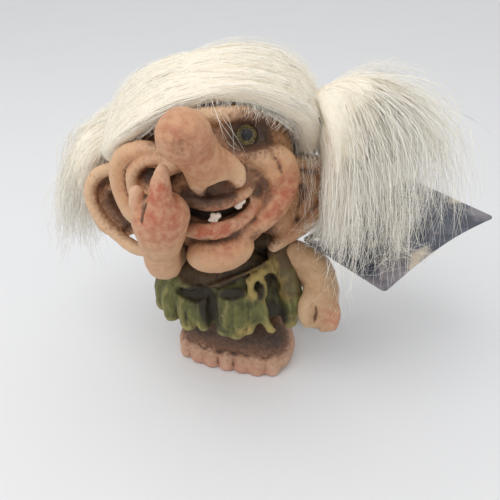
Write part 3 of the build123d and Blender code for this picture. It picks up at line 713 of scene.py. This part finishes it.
# Fine lines: crow's feet, forehead lines, creases on lip, cheek and chin
for line in (
    ((15.4, -18.8, 9.6, 0), (18.4, -17, 9, 0.15), (20.6, -15, 7.6, -0.05)),
    ((15.6, -19.2, 7.6, 0), (18.6, -17.6, 6.6, 0.1), (20.8, -15.6, 5.2, -0.05)),
    ((-8, -23, 19.6, 0), (0, -24.6, 20.4, 0.15), (8, -23.2, 19.6, 0)),
    ((2.6, -25.2, 14, -0.1), (3, -26, 10.6, 0), (2.4, -27.6, 8.2, -0.1)),
    ((22.4, -17.6, -9.4, 0), (19, -21, -13, 0.15), (14, -23.4, -16.6, 0)),
    ((-3, -29.6, -14.6, -0.05), (-2.8, -29.8, -16.2, 0.1), (-2.6, -29.2, -17.6, -0.05)),
    ((3.4, -29.2, -13.8, -0.05), (3.8, -29.2, -15.4, 0.1), (4.2, -28.4, -16.6, -0.05)),
):
    clay.scratch(0.7, *line)
head_cast = clay.cast("head_cast", head_place, seed=5)
face_blush = clay.spots(
    (-9.6, -44, 14, 8.5, 0.6), (-6, -40, 8, 6, 0.5), (-2, -34, 3, 5, 0.35), (20, -20, -8, 6.5, 0.95),
    (15, -23, -13, 5, 0.8), (21, -18, -2, 5, 0.5), (0, -29, -15.6, 5, 0.9), (-6, -28, -16, 5, 0.9),
    (7, -26, -12.6, 5, 0.9), (-2, -29, -8.4, 4.5, 0.8), (4, -28.4, -7.4, 4.5, 0.8),
    (2, -27, -20.6, 5, 0.55), (-22, -22, 5, 6, 0.35), (24, -7, -25, 4, 0.4),
)
clay.mark("blush", face_blush)
# More dark wash and painted shade in the eye sockets, the mouth and nostrils, the folds of cheeks, lip
# and chin, the ears and under the jaw, and a worn brown patch on the nose
clay.darken(
    *[(side * 7.6, -23, 10, 6.4, 1) for side in (1, -1)],
    *[(side * 13.8, -20.2, 10, 5.4, 1) for side in (1, -1)], (-9, -25, -6, 3.6, 0.75),
    (-10, -24, -12.5, 3.2, 0.8), (11.4, -23, -5.8, 2.4, 0.7), (4, -27.2, -18.2, 2, 0.6),
    (-4, -27.8, -19, 2.2, 0.6), (10.4, -22, -18.4, 3, 0.6), (0.2, -29.5, -4.2, 4, 0.85),
    (-6, -28.4, -4.6, 4.6, 0.8), (-3, -29.4, -5.4, 2.4, 0.8), (3.6, -29, -4.8, 2.2, 0.7),
    (10, -25.4, -2, 3, 0.6), (-9.6, -45.6, 11.6, 4, 0.36), (-3, -24, -11.6, 4.2, 0.98),
    (4.5, -23.5, -10.4, 4.2, 0.98), (-19.5, -22, 0, 3.4, 0.9), (13.2, -22.8, -5.6, 2.8, 0.7),
    (-31.5, -2.6, -11, 6.5, 0.75), (-28, -3.6, -18, 5, 0.7), (29, -2.4, -12, 6, 0.25),
    (2, -10, -29, 9, 0.97), (13, -10, -22, 7, 0.95), (-12, -10, -24, 8, 0.95),
)
paint_cast(head_cast, "head_paint", (198, 152, 114), (168, 116, 80), (168, 94, 66), (220, 190, 156), 0.7)
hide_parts("head")
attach(head_cast, "figure")


# Glass eyes: bought doll's eyes, each a clear blown dome over a gold-ringed olive iris and a
# black pupil, set in the sockets on a wire shank.
glass_finish = Finish("eye_glass_clear", (255, 255, 255), 0.0, IOR=1.25, Transmission_Weight=1.0)
glass_finish.rough(glass_finish.grain(3.0), 0.0, 0.02)
iris_finish = Finish("eye_iris_rings", (96, 80, 34), 0.3)
iris_finish.speckle((176, 148, 74), 0.3, 0.45, 0.6)
pupil_finish = Finish("eye_pupil_black", (8, 9, 14), 0.12)
pupil_finish.speckle((16, 20, 36), 0.5, 0.4, 0.7)
eye_finishes = {"glass": glass_finish, "iris": iris_finish, "pupil": pupil_finish, "shank": pupil_finish}
for side in ("left", "right"):
    for piece, finish in eye_finishes.items():
        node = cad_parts[f"{side}_eye_{piece}"]
        node.data.materials.clear()
        node.data.materials.append(finish.material)


# Teeth: two uneven chips of white resin, one in each jaw, pushed into the gums while the cast
# was soft, so that their roots are hidden.
tooth_finish = Finish("tooth_chip", (214, 198, 184), 0.3)
tooth_finish.speckle((172, 140, 112), 0.8, 0.48, 0.7, 0.8)
tooth_finish.relief(tooth_finish.grain(0.6), 0.1, 0.6)
for name, at, turn, seed in (
    ("upper_tooth", (5.8, -26.6, -8.6), (8, 12, 20), 6),
    ("lower_tooth", (-1.6, -27.3, -12.2), (-8, -8, -6), 7),
):
    at = np.array(at)
    clay = Clay(at - 4, at + 4, 0.14)
    clay.press_oval(0.8, at, (1.3, 0.85, 1.7), turn)
    clay.press_oval(0.2, at + (1.0, 0.1, 0.6), (0.9, 0.75, 1.0), turn)
    clay.press_oval(0.2, at + (-0.9, 0.1, -0.5), (0.8, 0.7, 0.7), turn)
    clay.scoop_roll(0.2, (*(at + (-1.2, -0.8, -1.6)), 0.5), (*(at + (0.4, -1.2, -0.6)), 0.4))
    tooth_cast = clay.cast(f"{name}_chip", head_place, lumps=0.5, seed=seed)
    tooth_cast.data.materials.append(tooth_finish.material)
    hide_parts(name)
    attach(tooth_cast, "figure")


# Wig: long cream goat's fur on its own hide, which is glued over the back of the skull. The fur
# is combed from a parting to both sides, lies over the brow in a soft roll and falls at the
# temples, with loose hairs all round.
hide_finish = Finish("hide", (222, 206, 176), 0.8)
hide_finish.speckle((196, 174, 138), 2.0, 0.4, 0.7)
hide_finish.relief(hide_finish.grain(0.5), 0.2, 0.8)
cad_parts["wig_hide"].data.materials.clear()
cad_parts["wig_hide"].data.materials.append(hide_finish.material)

fur_finish = Finish("cream_fur", (255, 252, 243), 0.5)
fur_finish.layer((252, 243, 224), fur_finish.between(fur_finish.mark("tone"), 0.5, 1.0, 0.8))
fur_finish.rough(fur_finish.grain(1.5), 0.6, 0.8)
coat_finish = Finish("under_fur", (240, 232, 214), 0.8)
coat_finish.speckle((234, 223, 202), 1.2, 0.4, 0.7)
# Painted shade in the grooves and hollows of the under-fur
coat_finish.layer((224, 210, 186), coat_finish.between(coat_finish.mark("wash_and_shade"), 0.3, 1.0, 0.6))
coat_finish.relief(coat_finish.grain(0.5), 0.3, 0.8)

# Where the tag lies: its punched corner, the way of its two edges, its upper face and its swing
card_corner = np.array((21.7, 5.8, 48.8))
card_edge = np.array((0.8227, -0.5668, -0.0443))
card_inward = np.array((0.5654, 0.8075, 0.1679))
card_top = 49.1
card_rise_x = 0.0603
card_rise_y = 0.1657
swing_slope = 0.28
card_side_room = 3.0
card_near_room = 1.5


def laid_on_card(lines, chance):
    """Hairs that would pass through the tag lie on its upper face instead, wherever it can swing."""
    off = lines - card_corner
    across = off @ card_edge
    inward = off @ card_inward
    near = -swing_slope * np.maximum(across, 0.0) - card_near_room
    over = (across > -card_side_room) & (inward > near)
    top = card_top + card_rise_x * off[..., 0] + card_rise_y * off[..., 1]
    rest = top + chance.uniform(0.4, 2.4, lines.shape[:1])[:, None]
    lines[..., 2] = np.where(over & (lines[..., 2] < rest), rest, lines[..., 2])
    return lines


def hairs(chance, guides, depth, count, clumps, inner=1.0, gather=0.6, frizz=1.0, least=0.6, rings=10):
    """Lines of hair spread over guide lines, gathered in clumps that wander and cross."""
    guides = np.array(guides, float)
    depth = np.array(depth, float)
    stations = guides.shape[1]
    growth = np.linspace(0.15, 1.0, stations)[:, None]
    clump_at = np.stack([chance.uniform(0, 1, clumps) ** inner, chance.uniform(-1, 1, clumps)], 1)
    loose = 0.7 + 1.3 * clump_at[:, :1, None]
    sway = 2.2
    stray = 0.9 * frizz
    clump_sway = chance.normal(0, sway, (clumps, stations, 3)) * growth * loose
    pick = chance.integers(0, clumps, count)
    close = chance.normal(0, 0.22, (count, 2))
    wide = chance.uniform(-0.35, 0.35, (count, 2))
    spread = gather * close + (1 - gather) * wide
    at = clump_at[pick] + spread * (1.0, 2.0)
    across = np.clip(at[:, 0], 0, 1) * (len(guides) - 1)
    first = np.minimum(across.astype(int), len(guides) - 2)
    share = (across - first)[:, None, None]
    lines = guides[first] * (1 - share) + guides[first + 1] * share
    lines = lines + np.clip(at[:, 1], -1.2, 1.2)[:, None, None] * depth + clump_sway[pick]
    lines = lines + chance.normal(0, stray, lines.shape) * growth * loose[pick]
    return along_length(chance, lines, least, frizz, rings)


def along_length(chance, lines, least, frizz, rings):
    """Smooth hairs of uneven length through lines of points, with a slight wave."""
    count = len(lines)
    smooth = curve_through(np.swapaxes(lines, 0, 1), 8)
    ends = chance.uniform(least, 1.0, count) ** 0.8
    steps = np.linspace(0, 1, rings)
    index = ends[:, None] * steps * (len(smooth) - 1)
    whole = np.minimum(index.astype(int), len(smooth) - 2)
    part = (index - whole)[..., None]
    row = np.arange(count)[:, None]
    made = smooth[whole, row] * (1 - part) + smooth[whole + 1, row] * part
    wave = chance.uniform(0.7, 2.2, (count, 1, 3)) * steps[:, None] + chance.uniform(0, 1, (count, 1, 3))
    return made + 0.5 * frizz * steps[:, None] * np.sin(2 * np.pi * wave)


def fur(name, lines, chance, width=0.2):
    """Hairs as one mesh of closed, tapered, three-sided tubes, each with its own tone."""
    tip_share = 0.35
    count, rings = lines.shape[:2]
    along = np.gradient(lines, axis=1)
    aside = np.cross(along, chance.normal(size=(count, 1, 3)))
    aside /= np.linalg.norm(aside, axis=2, keepdims=True) + 1e-9
    upward = np.cross(along, aside)
    upward /= np.linalg.norm(upward, axis=2, keepdims=True) + 1e-9
    taper = 1 - (1 - tip_share) * np.linspace(0, 1, rings) ** 2
    radius = (0.5 * width * chance.uniform(0.7, 1.2, count)[:, None] * taper)[:, :, None]
    turns = np.radians((0, 120, 240))
    points = np.stack([lines + radius * (cos(a) * aside + sin(a) * upward) for a in turns], 2)
    start = (np.arange(count) * rings * 3)[:, None, None]
    ring = (np.arange(rings - 1) * 3)[None, :, None]
    near = start + ring + np.arange(3)
    after = start + ring + (np.arange(3) + 1) % 3
    lower = np.stack([near, after, after + 3], -1)
    upper = np.stack([near, after + 3, near + 3], -1)
    sides = np.concatenate([lower, upper])
    caps = np.concatenate([start[:, 0] + (2, 1, 0), start[:, 0] + (rings - 1) * 3 + (0, 1, 2)])
    mesh = bpy.data.meshes.new(name)
    mesh.from_pydata((points * mm).reshape(-1, 3), [], np.concatenate([sides.reshape(-1, 3), caps]))
    mesh.shade_smooth()
    tone = np.repeat(chance.uniform(0, 1, count), rings * 3)
    mesh.attributes.new("tone", "FLOAT", "POINT").data.foreach_set("value", tone.astype(np.float32))
    mesh.materials.append(fur_finish.material)
    made = bpy.data.objects.new(name, mesh)
    scene.collection.objects.link(made)
    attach(made, "figure")
    return made


def under_fur(name, lines, closeness):
    """The felted under-fur: one soft mass wherever the hairs lie closer than some closeness."""
    shares = np.arange(5)[:, None, None, None] / 5
    points = (lines[:, :-1] * (1 - shares) + lines[:, 1:] * shares).reshape(-1, 3)
    coat = Clay(points.min(0) - 4, points.max(0) + 4, 0.8)
    edges = [coat.low[i] + coat.grain * (np.arange(coat.counts[i] + 1) - 0.5) for i in range(3)]
    crowd = np.histogramdd(points, edges)[0]
    coat.skin = np.clip(1.0 - crowd / closeness, -2.0, 2.0).astype(np.float32)
    coat.skin = coat.rubbed(2.0)
    made = coat.cast(name, lumps=0.25)
    made.data.materials.append(coat_finish.material)
    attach(made, "figure")


def from_head(points):
    """Points of the head's own frame, in the figure's."""
    turn = np.array(head_place.to_3x3())
    return points @ turn.T + np.array(head_place.translation) / mm


def over_skull(radius, aside, tilt):
    """Points over the skull, at angles aside from the parting and tilted forward from its top."""
    flat = radius * np.cos(aside)
    return from_head(np.stack([radius * np.sin(aside), -flat * np.sin(tilt), flat * np.cos(tilt)], 2))


def combed(chance, count, side, front, lean, swell, reach, clumps=90):
    """Hairs combed over the skull from the parting to one temple, the front ones leaning forward."""
    back = -40
    scalp = 27.8
    coat_depth = 4.2
    angles = np.radians((-8, 18, 44, 68, reach))
    pick = chance.integers(0, clumps, count)
    row = np.clip(chance.uniform(0, 1, clumps)[pick] + chance.normal(0, 0.07, count), 0, 1)[:, None]
    sag = lean * (1 - row) ** 2 * np.clip(angles / radians(50), 0, 1)
    drift = chance.normal(0, 4, (count, 1)) * np.linspace(-0.4, 1, 5)
    tilt = np.radians(front + (back - front) * row + sag + drift)
    level = np.sqrt(chance.uniform(0, 1, count))[:, None]
    angle = angles + np.radians(chance.normal(0, 3, clumps)[pick])[:, None]
    bulge = np.exp(-(((angles - radians(40)) / radians(28)) ** 2))
    radius = scalp + level * (coat_depth + swell * bulge)
    radius = radius + chance.normal(0, 0.4, clumps)[pick][:, None]
    radius = radius + chance.exponential(0.7, (count, 1)) * np.linspace(0.2, 1, 5)
    lines = over_skull(radius, side * angle, tilt)
    lines = lines + chance.normal(0, 0.45, lines.shape)
    return along_length(chance, lines, least=0.7, frizz=1.0, rings=8)


chance = np.random.default_rng(11)
left_comb = combed(chance, 2600, side=1, front=44, lean=12, swell=8, reach=88)
right_comb = combed(chance, 1900, side=-1, front=45, lean=16, swell=1.5, reach=86)
crown_lines = np.concatenate([left_comb, right_comb])
under_fur("crown_coat", crown_lines, 1.2)
crown_fur = fur("crown_fur", crown_lines, chance)
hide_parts("wig_crown")


# Back of the wig: the fur behind the parting, which grows on the same hide and hangs over the
# nape in one curtain, combed straight down.
back_count = 3500
back_clumps = 90
chance = np.random.default_rng(12)
clump_turns = chance.uniform(-82, 82, back_clumps)[chance.integers(0, back_clumps, back_count)]
aside = np.radians(clump_turns + chance.normal(0, 5, back_count))[:, None]
level = np.sqrt(chance.uniform(0, 1, back_count))[:, None]
over = np.radians((30, 58, 86, 100, 112))
radius = 28 + level * np.array((4, 5.5, 6, 6, 6.5))
drop = np.array((0, 0, 0, 6, 14))
back_lines = np.stack(
    [
        radius * np.sin(over) * np.sin(aside) * np.array((0.6, 0.9, 1, 1, 1)),
        radius * np.sin(over) * np.cos(aside) + 1.0,
        radius * np.cos(over) - drop,
    ],
    2,
)
back_lines = from_head(back_lines) + chance.normal(0, 0.7, back_lines.shape)
back_lines = along_length(chance, back_lines, least=0.7, frizz=1.2, rings=10)
under_fur("back_coat", back_lines, 2.0)
back_fur = fur("back_fur", back_lines, chance)
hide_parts("wig_back")


# Left lock: long fur of the same hide that springs from the left temple like a fountain and
# falls on the tag and past it. Nothing ties it, so its ends fray.
left_guides = (
    ((18.7, 14, 91), (23.6, 13, 92.1), (28, 9, 80.7), (30, 4, 66.1), (31, -3, 48.2)),
    ((18.9, 15, 91.7), (27, 14, 94), (34.2, 10, 81), (37.4, 6, 62.6), (39.6, -4, 42.7)),
    ((19.2, 16, 92.3), (31.8, 15, 96.6), (42, 12, 84.3), (47.1, 9, 64.2), (51, -1, 39.5)),
    ((18.9, 17, 93), (35.2, 16, 98.1), (50, 14, 87), (56.3, 12, 67.7), (58.3, 8, 45.6)),
    ((18.7, 18, 93.7), (38.5, 17, 100), (57.7, 16, 90.3), (66.1, 15, 74.5), (67.3, 13, 55.7)),
)
left_depth = ((-1, 4, -1), (-2, 8, -5), (-3, 11, -7), (-4, 13, -8), (-4, 14, -8))
chance = np.random.default_rng(13)
left_lines = hairs(chance, left_guides, left_depth, 3500, clumps=110, inner=3.4, frizz=1.5, least=0.35)
left_lines = laid_on_card(left_lines, chance)
under_fur("left_coat", left_lines, 1.2)
left_fur = fur("left_fur", left_lines, chance)
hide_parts("wig_left_lock")


# Right lock: thinner fur of the same hide, brushed back over the right ear. It isn't tied and
# hangs in fine wisps.
right_guides = (
    ((-21.8, 2, 89.9), (-33, 1, 85.8), (-42.8, -2, 76.9), (-48.1, -4, 61.6), (-49, -5, 43.4)),
    ((-23.5, 3, 91.8), (-36.8, 2, 87.1), (-48.7, 0, 76.9), (-55.3, -2, 60.1), (-57, -3, 41.1)),
    ((-25.3, 4, 92.9), (-39.8, 3, 88.4), (-54.3, 2, 76), (-61.9, 1, 58.2), (-64, 1, 40.6)),
)
right_depth = ((0, 4, 0), (0, 7, 0), (0, 9, 0), (0, 9, 0), (0, 9, 0))
chance = np.random.default_rng(14)
right_lines = hairs(chance, right_guides, right_depth, 2400, clumps=70, inner=1.5, frizz=1.3, least=0.45)
under_fur("right_coat", right_lines, 1.3)
right_fur = fur("right_fur", right_lines, chance)
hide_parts("wig_right_lock")


# Loose hairs of the wig: single hairs and thin wisps that have come away from the combed fur.
# They lie as a soft fringe on the brow, across the eye, over the left ear and on the tag, and
# fly over the left lock and the crown.
fringe_count = 640
chance = np.random.default_rng(16)
fringe_turn = np.radians(chance.uniform(-66, 66, fringe_count))[:, None]
fringe_fall = chance.uniform(0.3, 1.0, (fringe_count, 1)) * np.array((-6.0, 3.0, 10.0, 15.0))
fringe_tilt = np.radians(42 + 12 * np.abs(np.sin(fringe_turn)) + fringe_fall)
fringe_stray = np.radians(chance.normal(0, 5, (fringe_count, 1))) * np.array((0.0, 0.4, 0.8, 1.2))
fringe_turn = fringe_turn + fringe_stray
fringe_radius = chance.uniform(30.0, 31.5, (fringe_count, 1)) + np.array((0.0, 0.4, 0.0, -1.2))
fringe_lines = over_skull(fringe_radius, fringe_turn, fringe_tilt)
brow_guides = (
    ((-1, -22, 22), (0.5, -27.6, 15), (2.4, -29.6, 9), (7, -28.6, 2)),
    ((1, -21, 22), (2.4, -27.4, 15), (4, -29.6, 9), (9.6, -28.4, 0)),
)
ear_guides = (
    ((15.5, 10, 91.1), (18.2, 7, 83.3), (20.4, 4, 71.3), (21.7, 0, 56.8)),
    ((18.9, 12, 92.2), (22.8, 8, 83.5), (25.5, 5, 69.8), (27.4, -2, 51.6)),
)
temple_guides = (
    ((18, 14, 92), (21, 12, 87), (23.4, 10, 81), (24.6, 8, 73)),
    ((20, 17, 92), (23.6, 15, 87), (26, 13, 81), (27, 11, 73)),
)
front_guides = (
    ((25.2, 8, 94.3), (34, -4, 82.1), (37, -16, 64.7), (37, -24, 44.1)),
    ((27.4, 9, 94.2), (38.6, -4, 78.8), (43, -17, 61.5), (43, -26, 42)),
)
corner_guides = (
    ((30.5, 5, 61), (27, 1, 56.5), (23.6, 0, 53.5), (21.8, 3, 50.8)),
    ((34, 7, 61), (33, 3, 56.5), (31.5, 2, 53), (29, 6, 51.2)),
)
crossing_guides = (
    ((46, 6, 64), (54, 0, 55), (61, 2, 52.5), (68, 6, 54)),
    ((58, 10, 66), (53, 3, 56), (47, -5, 49.5), (42, -11, 48)),
)
flying_guides = (
    ((22.3, 16, 93.9), (31.7, 16, 101.3), (41.9, 14, 106.2), (52.1, 12, 104.4)),
    ((21.9, 18, 94), (38.1, 18, 101.7), (55.7, 16, 97.8), (67.6, 15, 80.9)),
)
level_depth = np.zeros((4, 3))
wisp_rings = 8
loose = [along_length(chance, fringe_lines, least=0.5, frizz=0.8, rings=wisp_rings)]
# Guides of each wisp, its hairs and clumps, how they crowd, gather and frizz, the shortest share of
# their length, and whether they lie on the tag
for guides, count, clumps, inner, gather, frizz, least, on_tag in (
    (from_head(np.array(brow_guides)), 5, 5, 1.0, 0.0, 0.6, 0.8, False),
    (ear_guides, 45, 40, 0.4, 0.0, 2.6, 0.4, True),
    (temple_guides, 150, 90, 1.0, 0.0, 1.2, 0.5, False),
    (corner_guides, 170, 120, 1.0, 0.0, 3.0, 0.4, True),
    (crossing_guides, 90, 80, 1.0, 0.0, 2.6, 0.5, True),
    (front_guides, 60, 30, 1.0, 0.2, 1.6, 0.4, True),
    (flying_guides, 90, 60, 1.0, 0.0, 2.0, 0.4, False),
):
    wisp = hairs(chance, guides, level_depth, count, clumps, inner, gather, frizz, least, wisp_rings)
    loose.append(laid_on_card(wisp, chance) if on_tag else wisp)
loose.append(combed(chance, 320, side=1, front=44, lean=12, swell=10, reach=92, clumps=240))
loose.append(combed(chance, 260, side=-1, front=45, lean=16, swell=4, reach=92, clumps=200))
fur("loose_fur", np.concatenate(loose), chance, width=0.12)


# Tail: a thin painted casting pegged under the back hem, bent round to one side, with a tuft of
# the wig's fur glued over its end.
clay = Clay((-9, 10, 0), (20, 37, 24), 0.3)
clay.press_roll(
    0.8, (-3, 16.5, 23, 2), (-3, 16.5, 14, 2), (-3, 18.6, 10.6, 2), (-3, 25.4, 7.6, 2),
    (-1, 29, 6.2, 1.9), (5, 30, 6, 1.8), (13, 30, 6, 1.6),
)
tail_cast = clay.cast("tail_cast", seed=8)
clay.mark("blush", clay.spots((6, 30, 7, 7, 0.5)))
paint_cast(tail_cast, "tail_paint", (196, 158, 122), (166, 122, 88), (196, 128, 104), (216, 184, 150))
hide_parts("tail")
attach(tail_cast, "figure")
tuft_count = 700
chance = np.random.default_rng(15)
tuft_turns = chance.uniform(0, 2 * np.pi, tuft_count)[:, None]
tuft_size = np.sqrt(chance.uniform(0, 1, tuft_count))[:, None] * np.array((1.9, 3.4, 4.0, 2.0))
tuft_lines = np.stack(
    [
        np.array((10, 15, 21, 28)) + chance.normal(0, 0.6, (tuft_count, 4)),
        30 + tuft_size * np.cos(tuft_turns),
        6 + tuft_size * np.sin(tuft_turns),
    ],
    2,
)
tuft_lines = along_length(chance, tuft_lines, least=0.7, frizz=0.5, rings=8)
tuft_fur = fur("tuft_fur", tuft_lines, chance, width=0.27)
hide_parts("tail_tuft")


# Swing tag: a printed card with a punched hole at one corner, tucked flat under the fur on the
# left shoulder. It is bowed up a little along its free edge and swings round the hole.
tag_corner = np.array((21.72, 5.75, 48.77))
tag_normal = np.cross(card_edge, card_inward)
tag_width = 37.0
tag_length = 53.0
tag_bow = 3.2
tag_card = bpy.data.meshes.new("tag_card")
tag_build = bmesh.new()
tag_build.from_mesh(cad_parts["swing_tag"].data)
bmesh.ops.triangulate(tag_build, faces=tag_build.faces)
for longest in (24, 12, 6, 4, 3):
    long_edges = [e for e in tag_build.edges if e.calc_length() > longest * mm]
    bmesh.ops.subdivide_edges(tag_build, edges=long_edges, cuts=1)
    bmesh.ops.triangulate(tag_build, faces=tag_build.faces)
tag_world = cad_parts["swing_tag"].matrix_world
for vertex in tag_build.verts:
    point = np.array(tag_world @ vertex.co) / mm
    across = np.clip((point - tag_corner) @ card_edge / tag_width, 0, 1)
    inward = np.clip((point - tag_corner) @ card_inward / tag_length, 0, 1)
    vertex.co = Vector((point + tag_normal * tag_bow * across**2 * sin(np.pi * inward)) * mm)
tag_build.to_mesh(tag_card)
tag_build.free()
tag_finish = Finish("printed_card", (84, 88, 102), 0.35)
tag_finish.speckle((50, 56, 72), 9.0, 0.48, 0.6, 1.0, 2.0)
tag_finish.speckle((136, 130, 134), 14.0, 0.52, 0.62, 0.8, 3.0)
tag_finish.speckle((204, 190, 172), 11.0, 0.58, 0.68, 0.85, 1.0)
tag_finish.rough(tag_finish.grain(2.0), 0.3, 0.45)
tag_card.materials.clear()
tag_card.materials.append(tag_finish.material)
tag_piece = bpy.data.objects.new("tag_card", tag_card)
scene.collection.objects.link(tag_piece)
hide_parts("swing_tag")
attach(tag_piece, "tag")
